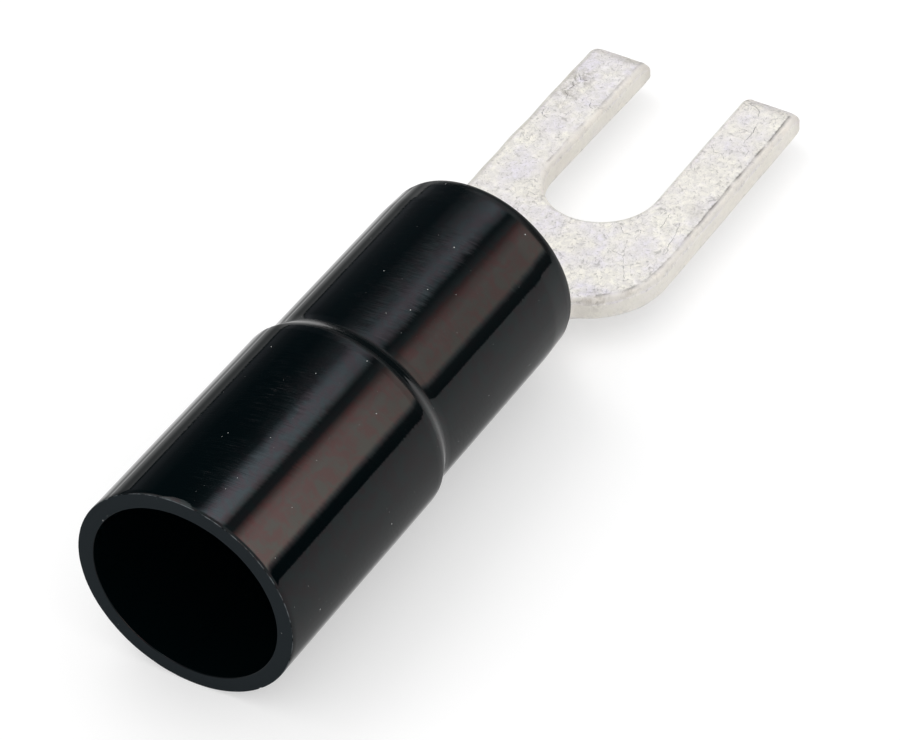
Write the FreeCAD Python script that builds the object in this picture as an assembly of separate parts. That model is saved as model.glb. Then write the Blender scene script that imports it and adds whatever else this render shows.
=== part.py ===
import FreeCAD, Part
import math
import os

from FreeCAD import Vector

# A fork terminal for a heavy flexible lead: a tinned copper stamping whose forked tongue slides under
# a terminal screw and whose rear is rolled into a wire barrel, with a stepped sleeve pressed over the barrel.
# Millimetres. Origin at the centre of the screw slot on the tongue's underside, +X towards the prong tips,
# +Z up out of the tongue. The barrel and the sleeve lie behind, on the wire axis above the tongue's plane.

# Stamped sheet and forked tongue
sheet_thickness = 1.2
tongue_width = 11.4
screw_slot_width = 5.7       # at the round end, clears a 5 mm screw
prong_length = 9.3           # slot centre to the prong tips
prong_toe_in = 0.17          # how far each prong leans towards the middle at its tip
tip_outer_corner_radius = 0.7
tip_inner_corner_radius = 0.5    # beside the slot
tip_crown = 0.12             # how far the end of each prong bulges forward
tip_crown_radius = 5.0
nose_reach = 1.05            # length of the prong that curves down to its tip
nose_radius = 1.3
nose_start_angle = 6.0       # degrees, slope where the nose leaves the upper face
upper_edge_radius = 0.22     # tumbled edges of the punched sheet
lower_edge_bevel = 0.1
shoulder_corner_set_back = 6.5   # slot centre back to the corner that the shoulder arc rounds off
shoulder_radius = 4.0
shoulder_slope = 25.0        # degrees between the shoulder and a line straight across
neck_width = 5.4
neck_fillet_radius = 0.9

# Rolled wire barrel
barrel_inner_diameter = 5.8
barrel_length = 10.0
barrel_set_back = 11.0       # slot centre back to the front end of the barrel
barrel_entry_chamfer = 0.4
barrel_edge_bevel = 0.12
trough_wrap = 78.0           # degrees each side of the bottom where the neck meets the barrel
trough_steps = 6             # curled sections from the flat neck to the barrel
trough_lap = 0.6             # how far the trough runs on inside the barrel's wall
trough_inset = 0.04          # how far the wall stands proud of the trough on either face
grip_groove_count = 3
grip_groove_pitch = 2.3
grip_groove_width = 0.6
grip_groove_depth = 0.18
seam_width = 0.36
seam_depth = 0.16

# Insulating sleeve
sleeve_wall = 0.75
sleeve_length = 23.47
sleeve_overhang = 0.52       # sleeve beyond the front end of the barrel
seat_clearance = 0.04        # radial, between the barrel and the sleeve
stop_clearance = 0.04        # between the back end of the barrel and the stop inside the sleeve
cable_bore_diameter = 8.9
cable_end_length = 12.1      # wide part of the sleeve, from the mouth to the crest of the step
step_length = 0.68
step_edge_radius = 0.16
sleeve_end_bevel = 0.08      # on the sharp edges of both open ends
front_edge_radius = 0.45
stop_thickness = 0.5
throat_margin = 0.08         # radial, throat of the funnel over the bore of the barrel
funnel_angle = 40.0          # degrees between the funnel and the wire axis

barrel_bore_radius = barrel_inner_diameter / 2
barrel_outer_radius = barrel_bore_radius + sheet_thickness
wire_axis_height = barrel_outer_radius
barrel_front = -barrel_set_back
barrel_back = barrel_front - barrel_length
sleeve_front = barrel_front + sleeve_overhang
sleeve_mouth = sleeve_front - sleeve_length
along_wire = Vector(1, 0, 0)
on_wire_axis = Vector(0, 0, wire_axis_height)
shortest_edge = 1e-6
level_tolerance = 1e-4
clear_of_part = 0.05         # how far a cutting shape reaches past the face that it cuts


def rounded_outline(corners):
    """A closed wire through corners given as (x, y, radius). Arcs that would overlap shrink to meet."""
    points = [Vector(x, y, 0) for x, y, radius in corners]
    behind = points[-1:] + points[:-1]
    ahead = points[1:] + points[:1]
    half_angles = []
    reaches = []
    for point, before, after, corner in zip(points, behind, ahead, corners):
        half_angle = (before - point).getAngle(after - point) / 2
        half_angles.append(half_angle)
        reaches.append(corner[2] / math.tan(half_angle))
    starts = []
    arcs = []
    ends = []
    for index, point in enumerate(points):
        following = (index + 1) % len(points)
        leg_behind = (behind[index] - point).Length
        leg_ahead = (ahead[index] - point).Length
        room_behind = leg_behind / max(reaches[index] + reaches[index - 1], shortest_edge)
        room_ahead = leg_ahead / max(reaches[index] + reaches[following], shortest_edge)
        reach = reaches[index] * min(1.0, room_behind, room_ahead)
        to_behind = (behind[index] - point).normalize()
        to_ahead = (ahead[index] - point).normalize()
        starts.append(point + to_behind * reach)
        ends.append(point + to_ahead * reach)
        if reach < shortest_edge:
            arcs.append(None)
            continue
        radius = reach * math.tan(half_angles[index])
        bisector = (to_behind + to_ahead).normalize()
        middle = point + bisector * (radius / math.sin(half_angles[index]) - radius)
        arcs.append(Part.Arc(starts[-1], middle, ends[-1]).toShape())
    edges = []
    for start, arc, end, next_start in zip(starts, arcs, ends, starts[1:] + starts[:1]):
        if arc is not None:
            edges.append(arc)
        if (next_start - end).Length > shortest_edge:
            edges.append(Part.LineSegment(end, next_start).toShape())
    return Part.Wire(edges)


def turned(corners):
    """A solid of revolution about the wire axis, from corners given as (x, distance from axis, radius)."""
    face = Part.Face(rounded_outline(corners))
    face.rotate(Vector(0, 0, 0), along_wire, 90)
    face.translate(on_wire_axis)
    return face.revolve(on_wire_axis, along_wire, 360)


def half_tongue_corners():
    """Corners of the tongue's left half, from the round end of the slot to the neck, and the neck's end."""
    half_slot = screw_slot_width / 2
    half_width = tongue_width / 2
    half_neck = neck_width / 2
    slot_at_tip = half_slot - prong_toe_in
    side_at_tip = half_width - prong_toe_in
    tip_corner = prong_length - tip_crown
    slope = math.radians(shoulder_slope)
    neck_corner = -shoulder_corner_set_back - (half_width - half_neck) * math.tan(slope)
    neck_end = neck_corner - neck_fillet_radius * math.tan((math.pi / 2 - slope) / 2)
    corners = [
        (-half_slot, half_slot, half_slot),
        (tip_corner, slot_at_tip, tip_inner_corner_radius),
        (prong_length, (slot_at_tip + side_at_tip) / 2, tip_crown_radius),
        (tip_corner, side_at_tip, tip_outer_corner_radius),
        (-shoulder_corner_set_back, half_width, shoulder_radius),
        (neck_corner, half_neck, neck_fillet_radius),
        (neck_end, half_neck, 0),
    ]
    return corners, neck_end


def tongue(corners, neck_end):
    """The flat fork with its tumbled edges. The end of the neck is left square for the trough."""
    mirrored = [(x, -y, radius) for x, y, radius in reversed(corners)]
    outline = rounded_outline(corners + mirrored)
    solid = Part.Face(outline).extrude(Vector(0, 0, sheet_thickness))
    solid = solid.makeFillet(upper_edge_radius, rim_edges(solid, sheet_thickness, neck_end))
    solid = solid.makeChamfer(lower_edge_bevel, rim_edges(solid, 0, neck_end))
    return solid.cut(space_over_noses())


def rim_edges(solid, height, neck_end):
    """The level edges at one height, without the one across the end of the neck."""
    rim = []
    for edge in solid.Edges:
        box = edge.BoundBox
        level = max(abs(box.ZMin - height), abs(box.ZMax - height)) < level_tolerance
        at_neck = box.XMax < neck_end + level_tolerance
        if level and not at_neck:
            rim.append(edge)
    return rim


def space_over_noses():
    """What the prongs lose where their upper face curves down to the tips."""
    slope = math.radians(nose_start_angle)
    start = Vector(prong_length - nose_reach, 0, sheet_thickness)
    centre = start - Vector(math.sin(slope), 0, math.cos(slope)) * nose_radius
    end_slope = math.asin((nose_reach + clear_of_part) / nose_radius + math.sin(slope))
    end = centre + Vector(math.sin(end_slope), 0, math.cos(end_slope)) * nose_radius
    half_slope = (slope + end_slope) / 2
    middle = centre + Vector(math.sin(half_slope), 0, math.cos(half_slope)) * nose_radius
    above_end = Vector(end.x, 0, sheet_thickness + clear_of_part)
    above_start = Vector(start.x, 0, above_end.z)
    edges = [
        Part.Arc(start, middle, end).toShape(),
        Part.makePolygon([end, above_end, above_start, start]),
    ]
    face = Part.Face(Part.Wire(edges))
    face.translate(Vector(0, -tongue_width, 0))
    return face.extrude(Vector(0, 2 * tongue_width, 0))


def curled_section(x, half_width, curl_radius, inset):
    """The strip's cross-section at x, curled about its middle radius, or flat where that is None."""
    lower_face = inset
    upper_face = sheet_thickness - inset
    arc_middle = 1 - math.sqrt(0.5)

    def bent(across, up):
        if curl_radius is None:
            return Vector(x, across, up)
        angle = across / curl_radius
        radius = curl_radius + sheet_thickness / 2 - up
        rise = curl_radius + sheet_thickness / 2 - radius * math.cos(angle)
        return Vector(x, radius * math.sin(angle), rise)

    def finished_side(sign):
        low = lower_edge_bevel
        high = upper_edge_radius
        return [
            bent(sign * (half_width - low), lower_face),
            bent(sign * half_width, lower_face + low),
            bent(sign * half_width, upper_face - high),
            bent(sign * (half_width - high * arc_middle), upper_face - high * arc_middle),
            bent(sign * (half_width - high), upper_face),
        ]

    left = finished_side(1)
    right = finished_side(-1)
    bottom = Part.LineSegment(right[0], left[0])
    top = Part.LineSegment(left[4], right[4])
    if curl_radius is not None:
        bottom = Part.Arc(right[0], bent(0, lower_face), left[0])
        top = Part.Arc(left[4], bent(0, upper_face), right[4])
    edges = [
        bottom,
        Part.LineSegment(left[0], left[1]),
        Part.LineSegment(left[1], left[2]),
        Part.Arc(left[2], left[3], left[4]),
        top,
        Part.Arc(right[4], right[3], right[2]),
        Part.LineSegment(right[2], right[1]),
        Part.LineSegment(right[1], right[0]),
    ]
    return Part.Wire([edge.toShape() for edge in edges])


def trough(neck_end):
    """The neck widens and curls up to the barrel's curve, and ends buried in the lower half of its wall."""
    barrel_curl = barrel_bore_radius + sheet_thickness / 2
    final_half_width = barrel_curl * math.radians(trough_wrap)
    sections = [curled_section(neck_end, neck_width / 2, None, 0)]
    for step in range(1, trough_steps + 1):
        share = step / trough_steps
        curl = share * share * (3 - 2 * share)
        x = neck_end + (sleeve_front - neck_end) * share
        half_width = neck_width / 2 + (final_half_width - neck_width / 2) * share * share
        sections.append(curled_section(x, half_width, barrel_curl / curl, 0))
    for x in (barrel_front, barrel_front - trough_lap):
        sections.append(curled_section(x, final_half_width, barrel_curl, trough_inset))
    return Part.makeLoft(sections, True, False)


def barrel():
    """The rolled tube with its chamfered wire entry, grip grooves and brazed seam."""
    entry = barrel_entry_chamfer
    corners = [
        (barrel_front, barrel_outer_radius, 0),
        (barrel_back + barrel_edge_bevel, barrel_outer_radius, 0),
        (barrel_back, barrel_outer_radius - barrel_edge_bevel, 0),
        (barrel_back, barrel_bore_radius + entry, 0),
        (barrel_back + entry, barrel_bore_radius, 0),
    ]
    groove_bottom = barrel_bore_radius + grip_groove_depth
    first_groove = (barrel_front + barrel_back) / 2 - grip_groove_pitch * (grip_groove_count - 1) / 2
    for index in range(grip_groove_count):
        middle = first_groove + index * grip_groove_pitch
        back = middle - grip_groove_width / 2
        front = middle + grip_groove_width / 2
        corners.append((back, barrel_bore_radius, 0))
        corners.append((back + grip_groove_depth, groove_bottom, 0))
        corners.append((front - grip_groove_depth, groove_bottom, 0))
        corners.append((front, barrel_bore_radius, 0))
    corners.append((barrel_front, barrel_bore_radius, 0))
    tube = turned(corners)
    return tube.cut(seam_notch(barrel_outer_radius, -1)).cut(seam_notch(barrel_bore_radius, 1))


def seam_notch(radius, direction):
    """A shallow V along the top of the barrel where the rolled edges meet, cut from one face inwards."""
    surface = wire_axis_height + radius
    clear_of_face = surface - direction * seam_depth
    root = surface + direction * seam_depth
    corners = [
        Vector(barrel_back, -seam_width, clear_of_face),
        Vector(barrel_back, seam_width, clear_of_face),
        Vector(barrel_back, 0, root),
    ]
    face = Part.Face(Part.makePolygon(corners + corners[:1]))
    return face.extrude(Vector(barrel_length, 0, 0))


def fork_terminal():
    """Tongue, trough and barrel as the one formed piece of sheet."""
    corners, neck_end = half_tongue_corners()
    body = tongue(corners, neck_end).fuse([trough(neck_end), barrel()])
    return body.removeSplitter()


def insulating_sleeve():
    """Stepped tube: a wide cable end with a funnel inside, and a narrower end that grips the barrel."""
    cable_radius = cable_bore_diameter / 2
    seat_radius = barrel_outer_radius + seat_clearance
    throat_radius = barrel_bore_radius + throat_margin
    stop_face = barrel_back - stop_clearance
    throat_start = stop_face - stop_thickness
    funnel_start = throat_start - (cable_radius - throat_radius) / math.tan(math.radians(funnel_angle))
    step_crest = sleeve_mouth + cable_end_length
    bevel = sleeve_end_bevel
    return turned([
        (sleeve_mouth + bevel, cable_radius, 0),
        (sleeve_mouth, cable_radius + bevel, 0),
        (sleeve_mouth, cable_radius + sleeve_wall - bevel, 0),
        (sleeve_mouth + bevel, cable_radius + sleeve_wall, 0),
        (step_crest, cable_radius + sleeve_wall, step_edge_radius),
        (step_crest + step_length, seat_radius + sleeve_wall, step_edge_radius),
        (sleeve_front, seat_radius + sleeve_wall, front_edge_radius),
        (sleeve_front, seat_radius + bevel, 0),
        (sleeve_front - bevel, seat_radius, 0),
        (stop_face, seat_radius, 0),
        (stop_face, throat_radius, 0),
        (throat_start, throat_radius, 0),
        (funnel_start, cable_radius, 0),
    ])


os.makedirs("parts", exist_ok=True)
pieces = {"fork_terminal": fork_terminal(), "insulating_sleeve": insulating_sleeve()}
for name, shape in pieces.items():
    shape.exportStep("parts/" + name + ".step")
    print(name, "valid", shape.isValid(), "solids", len(shape.Solids), "volume", round(shape.Volume, 3))
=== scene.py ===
import math
import random
from functools import partial

import bmesh
import bpy
from mathutils import Matrix, Vector, geometry, kdtree, noise


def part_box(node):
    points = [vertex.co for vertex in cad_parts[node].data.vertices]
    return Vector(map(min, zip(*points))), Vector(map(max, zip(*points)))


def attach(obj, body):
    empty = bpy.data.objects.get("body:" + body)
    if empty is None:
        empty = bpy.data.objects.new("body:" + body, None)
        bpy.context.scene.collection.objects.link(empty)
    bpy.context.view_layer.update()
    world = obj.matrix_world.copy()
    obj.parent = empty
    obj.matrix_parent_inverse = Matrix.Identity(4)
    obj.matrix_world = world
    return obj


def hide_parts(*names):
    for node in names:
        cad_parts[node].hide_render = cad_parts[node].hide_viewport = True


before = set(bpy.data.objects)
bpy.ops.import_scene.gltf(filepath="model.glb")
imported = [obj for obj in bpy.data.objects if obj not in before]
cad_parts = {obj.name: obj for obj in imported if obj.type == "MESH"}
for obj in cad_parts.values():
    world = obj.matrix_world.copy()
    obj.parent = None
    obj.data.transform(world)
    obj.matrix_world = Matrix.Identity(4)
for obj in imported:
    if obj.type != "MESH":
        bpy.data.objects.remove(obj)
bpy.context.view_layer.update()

mm = 0.001
sleeveLow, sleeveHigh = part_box("insulating_sleeve")
wireAxisHeight = (sleeveLow.z + sleeveHigh.z) / 2  # the sleeve and the barrel are round about this line


# Helpers shared by all pieces

def toLinear(hexColour):
    # sRGB hex to the linear colour that shaders take
    channels = [int(hexColour[i:i + 2], 16) / 255 for i in (1, 3, 5)]
    linear = [c / 12.92 if c <= 0.04045 else ((c + 0.055) / 1.055) ** 2.4 for c in channels]
    return (*linear, 1.0)


def fillInputs(node, inputs):
    # sets a node's inputs, given by name or number, and links those whose value is another node's output
    for key, value in inputs.items():
        if isinstance(value, bpy.types.NodeSocket):
            node.id_data.links.new(value, node.inputs[key])
        else:
            node.inputs[key].default_value = value


def addNode(tree, kind, *inputs, stops=(), **settings):
    # adds one node and gives its first output. The kind may name its operation after a colon. Its inputs come
    # in the node's own order or as one dictionary, and stops are a colour ramp's (place from 0 to 1, colour).
    words = kind.split(":")
    node = tree.nodes.new(words[0] if "Node" in words[0] else "ShaderNode" + words[0])
    if len(words) > 1:
        node.operation = words[1]
    for name, value in settings.items():
        setattr(node, name, value)
    fillInputs(node, inputs[0] if inputs and isinstance(inputs[0], dict) else dict(enumerate(inputs)))
    if stops:
        node.color_ramp.elements.remove(node.color_ramp.elements[1])
        node.color_ramp.elements[0].position, node.color_ramp.elements[0].color = stops[0]
        for place, colour in stops[1:]:
            node.color_ramp.elements.new(place).color = colour
    return node.outputs[0] if node.outputs else node


def newObject(name, data):
    thing = bpy.data.objects.new(name, data)
    bpy.context.scene.collection.objects.link(thing)
    return thing


def newRule(name, **sizes):
    # a Geometry Nodes tree with named inputs for its shape, its sizes by their kind, and its material; gives
    # what adds its nodes, and its inputs
    tree = bpy.data.node_groups.new(name, "GeometryNodeTree")
    tree.interface.new_socket("Geometry", in_out="OUTPUT", socket_type="NodeSocketGeometry")
    for kind, labels in {"Geometry": ["Geometry"], **sizes, "Material": ["Finish"]}.items():
        for label in labels:
            tree.interface.new_socket(label, in_out="INPUT", socket_type="NodeSocket" + kind)
    return partial(addNode, tree), tree.nodes.new("NodeGroupInput").outputs


def finishRule(add, shape, material):
    # ends a rule: smooth faces, real geometry and the material; gives the finished tree
    smooth = add("GeometryNodeSetShadeSmooth", shape)
    real = add("GeometryNodeRealizeInstances", smooth)
    dressed = add("GeometryNodeSetMaterial", {"Geometry": real, "Material": material})
    return add("NodeGroupOutput", dressed).id_data


def applyRule(thing, tree, values):
    # sets the inputs by identifier, evaluates once and leaves a plain mesh with no modifier
    modifier = thing.modifiers.new(tree.name, "NODES")
    modifier.node_group = tree
    for item in tree.interface.items_tree:
        if item.in_out == "INPUT" and item.name in values:
            modifier[item.identifier] = values[item.name]
    bpy.context.view_layer.update()
    evaluated = thing.evaluated_get(bpy.context.evaluated_depsgraph_get())
    plain = bpy.data.meshes.new_from_object(evaluated)
    thing.modifiers.clear()
    thing.data = plain
    plain.materials.clear()
    plain.materials.append(values["Finish"])


def faceOutwards(piece):
    shell = bmesh.new()
    shell.from_mesh(piece.data)
    bmesh.ops.recalc_face_normals(shell, faces=shell.faces)
    shell.to_mesh(piece.data)
    shell.free()


def roundCorners(corners, step):
    # corners are (x, y, radius) in mm of a closed outline; gives points along its runs and tangent arcs
    points = [Vector((x, y)) for x, y, radius in corners]
    count = len(points)
    starts, ends, bends = [], [], []
    for i, (x, y, radius) in enumerate(corners):
        back = (points[i - 1] - points[i]).normalized()
        ahead = (points[(i + 1) % count] - points[i]).normalized()
        halfAngle = back.angle(ahead) / 2
        reach = radius / math.tan(halfAngle)
        starts.append(points[i] + back * reach)
        ends.append(points[i] + ahead * reach)
        toCentre = radius / math.sin(halfAngle)
        bends.append((points[i] + (back + ahead).normalized() * toCentre, math.pi - 2 * halfAngle))
    line = []
    for i in range(count):
        centre, turn = bends[i]
        radius = corners[i][2]
        steps = max(3, math.ceil(turn * radius / step)) if radius else 0
        first = starts[i] - centre
        sign = 1 if first.x * (ends[i] - centre).y - first.y * (ends[i] - centre).x > 0 else -1
        for k in range(steps + 1):
            angle = sign * turn * k / max(steps, 1)
            spun = Vector((first.x * math.cos(angle) - first.y * math.sin(angle),
                           first.x * math.sin(angle) + first.y * math.cos(angle)))
            line.append(centre + spun)
        run = starts[(i + 1) % count] - ends[i]
        pieces = max(1, round(run.length / step))
        line.extend(ends[i] + run * (k / pieces) for k in range(1, pieces))
    return [p for i, p in enumerate(line) if (p - line[i - 1]).length > 0.01]


# Insulating sleeve

sleeve = {
    "wall": 0.75,  # mm from here on
    "seatRadius": 4.14,
    "boreRadius": 4.45,
    "cableEndLength": 12.1,
    "stepLength": 0.58,
    "stepFacet": 0.15,  # length of the narrow worn facets at the step's crest and foot
    "stepFacetDrop": 0.025,
    "stepEdge": 0.1,
    "mouthEdge": 0.05,
    "frontEdge": 0.4,
    "frontTaper": 0.09,  # the moulded nose draws in over its last stretch
    "frontTaperLength": 1.7,
    "barrelBack": -21.04,
    "stopThickness": 0.5,
    "throatRadius": 2.98,
    "funnelAngle": 40.0,  # degrees
    "runStep": 0.32,  # spacing of the rings along the straight runs
    "around": 240,
    "squash": 0.03,  # how far the soft tube is out of round
    "waveDepth": 0.012,
    "waveSize": 3.0,
    "mouthSlantLeft": 0.0495,  # the blade's cut leans, mm per mm to the left and down
    "mouthSlantDown": 0.0375,
    "slantFade": 4.0,  # how far into the tube the lean is spread
    "rimNicks": 0.035,  # knife marks in the mouth's edge
    "nicksReach": 0.35,
    "seamAt": 40.5,  # degrees from the top to the left, where the two mould halves met
    "seamDepth": 0.035,
    "seed": 7,
}
cableOuter = sleeve["boreRadius"] + sleeve["wall"]
slantReach = cableOuter * math.hypot(sleeve["mouthSlantLeft"], sleeve["mouthSlantDown"])


def makeSleeveRule():
    # turns the profile about the wire axis, then makes it a soft tube that was cut off with a blade
    add, give = newRule("turnProfile", Int=["Around"], Float=[
        "Axis Height", "Squash", "Wave Depth", "Wave Size", "Mouth", "Slant Left", "Slant Down",
        "Slant Reach", "Slant Fade", "Rim Nicks", "Nicks Reach", "Seam Column", "Seam Depth", "Seam Inside",
        "Seed"])
    outline = add("GeometryNodeMeshToCurve", give["Geometry"])
    counter = add("GeometryNodeAttributeDomainSize", outline, component="CURVE")
    rows = add("Math:ADD", counter, 1.0)
    columns = add("Math:ADD", give["Around"], 1.0)
    grid = add("GeometryNodeMeshGrid", {"Vertices X": rows, "Vertices Y": columns})
    index = add("GeometryNodeInputIndex")
    row = add("Math:MODULO", add("Math:FLOOR", add("Math:DIVIDE", index, columns)), counter)
    column = add("Math:MODULO", index, columns)
    angle = add("Math:MULTIPLY", add("Math:DIVIDE", column, give["Around"]), 2 * math.pi)
    sample = add("GeometryNodeSampleIndex",
                 {"Geometry": outline, "Value": add("GeometryNodeInputPosition"), "Index": row},
                 data_type="FLOAT_VECTOR", domain="POINT")
    axes = add("SeparateXYZ", sample).node.outputs
    along, distance = axes["X"], axes["Z"]
    sideways = add("Math:SINE", angle)
    upwards = add("Math:COSINE", angle)
    # out of round and wavy: only ever inwards from the true radius
    bulge = add("Math:SINE", add("Math:ADD", angle, 0.7))
    squashed = add("Math:MULTIPLY", add("Math:MULTIPLY", bulge, bulge), give["Squash"])
    spot = add("CombineXYZ", along, add("Math:MULTIPLY", sideways, distance),
               add("Math:MULTIPLY", upwards, distance))
    fine = add("Math:DIVIDE", 1.0, give["Wave Size"])
    wave = add("TexNoise", {"Vector": spot, "W": give["Seed"], "Scale": fine, "Detail": 2.0},
               noise_dimensions="4D")
    cut = add("Math:ADD", squashed, add("Math:MULTIPLY", wave, give["Wave Depth"]))
    # the fine seam that the mould left, on two opposite sides of the outside
    halfWay = add("Math:MULTIPLY", give["Around"], 0.5)
    fromSeam = add("Math:ADD", add("Math:SUBTRACT", column, give["Seam Column"]), halfWay)
    onSeam = add("Math:LESS_THAN", add("Math:MODULO", fromSeam, halfWay), 0.5)
    atSeam = add("Math:MULTIPLY", onSeam, add("Math:GREATER_THAN", distance, give["Seam Inside"]))
    cut = add("Math:ADD", cut, add("Math:MULTIPLY", atSeam, give["Seam Depth"]))
    radius = add("Math:SUBTRACT", distance, cut)
    # the slanted cut moves the mouth's points along the tube, and fades out further in
    lean = add("Math:SUBTRACT", add("Math:MULTIPLY", sideways, give["Slant Left"]),
               add("Math:MULTIPLY", upwards, give["Slant Down"]))
    slant = add("Math:SUBTRACT", give["Slant Reach"], add("Math:MULTIPLY", radius, lean))
    inside = add("Math:SUBTRACT", along, give["Mouth"])
    fade = add("MapRange", inside, 0.0, give["Slant Fade"], 1.0, 0.0)
    nearMouth = add("MapRange", inside, 0.0, give["Nicks Reach"], 1.0, 0.0)
    nick = add("TexNoise", {"Vector": spot, "W": give["Seed"], "Scale": 1.6 / mm, "Detail": 4.0},
               noise_dimensions="4D")
    nicks = add("Math:MULTIPLY", add("Math:POWER", nick, 2.5), give["Rim Nicks"])
    moved = add("Math:ADD", along, add("Math:MULTIPLY", nicks, nearMouth))
    moved = add("Math:ADD", moved, add("Math:MULTIPLY", slant, fade))
    height = add("Math:ADD", add("Math:MULTIPLY", radius, upwards), give["Axis Height"])
    place = add("CombineXYZ", moved, add("Math:MULTIPLY", radius, sideways), height)
    wrapped = add("GeometryNodeSetPosition", {"Geometry": grid, "Position": place})
    closed = add("GeometryNodeMergeByDistance", {"Geometry": wrapped, "Distance": 0.0005 * mm})
    return finishRule(add, closed, give["Finish"])


def makeSleeve(skin, cutFace):
    # the profile's corners run from the mouth along the outside to the nose, and back through the inside
    mouth = sleeveLow.x / mm
    front = sleeveHigh.x / mm
    crest = mouth + sleeve["cableEndLength"]
    stop = sleeve["barrelBack"]
    throat = stop - sleeve["stopThickness"]
    funnelSlope = math.tan(math.radians(sleeve["funnelAngle"]))
    funnel = throat - (sleeve["boreRadius"] - sleeve["throatRadius"]) / funnelSlope
    seatOuter = sleeve["seatRadius"] + sleeve["wall"]
    corners = [
        (mouth, sleeve["boreRadius"], sleeve["mouthEdge"]),
        (mouth, cableOuter, sleeve["mouthEdge"]),
        (crest - sleeve["stepFacet"], cableOuter, sleeve["stepEdge"]),
        (crest, cableOuter - sleeve["stepFacetDrop"], sleeve["stepEdge"] / 2),
        (crest + sleeve["stepLength"], seatOuter + sleeve["stepFacetDrop"], sleeve["stepEdge"] / 2),
        (crest + sleeve["stepLength"] + sleeve["stepFacet"], seatOuter, sleeve["stepEdge"]),
        (front - sleeve["frontTaperLength"], seatOuter, 6.0),
        (front, seatOuter - sleeve["frontTaper"], sleeve["frontEdge"]),
        (front, sleeve["seatRadius"], sleeve["mouthEdge"]),
        (stop, sleeve["seatRadius"], 0),
        (stop, sleeve["throatRadius"], 0),
        (throat, sleeve["throatRadius"], 0),
        (funnel, sleeve["boreRadius"], 0),
    ]
    profile = roundCorners(corners, sleeve["runStep"])
    # one closed ring of points in the XZ plane
    points = [(p.x * mm, 0, p.y * mm) for p in profile]
    mesh = bpy.data.meshes.new("sleeve")
    mesh.from_pydata(points, [(i, (i + 1) % len(points)) for i in range(len(points))], [])
    piece = newObject("sleeve", mesh)
    applyRule(piece, makeSleeveRule(), {
        "Axis Height": wireAxisHeight, "Around": sleeve["around"], "Squash": sleeve["squash"] * mm,
        "Wave Depth": sleeve["waveDepth"] * mm, "Wave Size": sleeve["waveSize"] * mm, "Mouth": sleeveLow.x,
        "Slant Left": sleeve["mouthSlantLeft"], "Slant Down": sleeve["mouthSlantDown"],
        "Slant Reach": slantReach * mm, "Slant Fade": sleeve["slantFade"] * mm,
        "Rim Nicks": sleeve["rimNicks"] * mm, "Nicks Reach": sleeve["nicksReach"] * mm,
        "Seam Depth": sleeve["seamDepth"] * mm,
        "Seam Column": float(round(sleeve["seamAt"] / 360 * sleeve["around"])),
        "Seam Inside": (sleeve["boreRadius"] + 0.1) * mm, "Seed": float(sleeve["seed"]), "Finish": skin})
    faceOutwards(piece)
    piece.data.materials.append(cutFace)
    for face in piece.data.polygons:
        if face.normal.x < -0.8 and face.center.x < sleeveLow.x + mm:
            face.material_index = 1
    return piece


# Dust on the sleeve

dust = {
    "perSquareMm": 0.3,
    "smallest": 0.008,  # mm, half width of a speck
    "largest": 0.04,
    "flatness": 0.35,
    "colour": "#b4b6b4",
    "seed": 5,
}


def makeDustRule():
    # strews flat, ragged specks over the outside of a tube, many of them small and few large
    add, give = newRule("scatterDust", Int=["Seed"], Float=[
        "Density", "Smallest", "Largest", "Flatness", "Axis Height", "Outer Radius"])
    axis = add("CombineXYZ", 0.0, 0.0, give["Axis Height"])
    fromAxis = add("VectorMath:SUBTRACT", add("GeometryNodeInputPosition"), axis)
    distance = add("VectorMath:LENGTH", add("VectorMath:MULTIPLY", fromAxis, (0, 1, 1))).node.outputs["Value"]
    outside = add("FunctionNodeCompare:GREATER_THAN", distance, give["Outer Radius"], data_type="FLOAT")
    scatter = add("GeometryNodeDistributePointsOnFaces", {
        "Mesh": give["Geometry"], "Selection": outside, "Density": give["Density"], "Seed": give["Seed"]})
    chance = add("FunctionNodeRandomValue", {2: 0.0, 3: 1.0, "Seed": give["Seed"]}, data_type="FLOAT")
    rare = add("Math:POWER", chance.node.outputs[1], 4.0)
    size = add("MapRange", rare, 0.0, 1.0, give["Smallest"], give["Largest"])
    scale = add("CombineXYZ", size, size, add("Math:MULTIPLY", size, give["Flatness"]))
    speck = add("GeometryNodeMeshIcoSphere", {"Radius": 1.0, "Subdivisions": 2})
    placed = add("GeometryNodeInstanceOnPoints", {
        "Points": scatter, "Instance": speck, "Rotation": scatter.node.outputs["Rotation"], "Scale": scale})
    real = add("GeometryNodeRealizeInstances", placed)
    rough = add("TexNoise", {"Scale": 18.0 / mm, "Detail": 1.0})
    strength = add("Math:MULTIPLY", add("Math:SUBTRACT", rough, 0.62), 0.03 * mm)
    push = add("VectorMath:SCALE", {0: add("GeometryNodeInputNormal"), 3: strength})
    ragged = add("GeometryNodeSetPosition", {"Geometry": real, "Offset": push})
    return finishRule(add, ragged, give["Finish"])


def makeDust(sleevePiece, material):
    piece = newObject("sleeve_dust", sleevePiece.data.copy())
    applyRule(piece, makeDustRule(), {
        "Density": dust["perSquareMm"] / (mm * mm), "Smallest": dust["smallest"] * mm,
        "Largest": dust["largest"] * mm, "Flatness": dust["flatness"], "Axis Height": wireAxisHeight,
        "Outer Radius": (sleeve["boreRadius"] + 0.2) * mm, "Seed": dust["seed"], "Finish": material})
    return piece


# Terminal: a flat blank with its tumbled edges and scratches, whose rear is then rolled up

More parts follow.
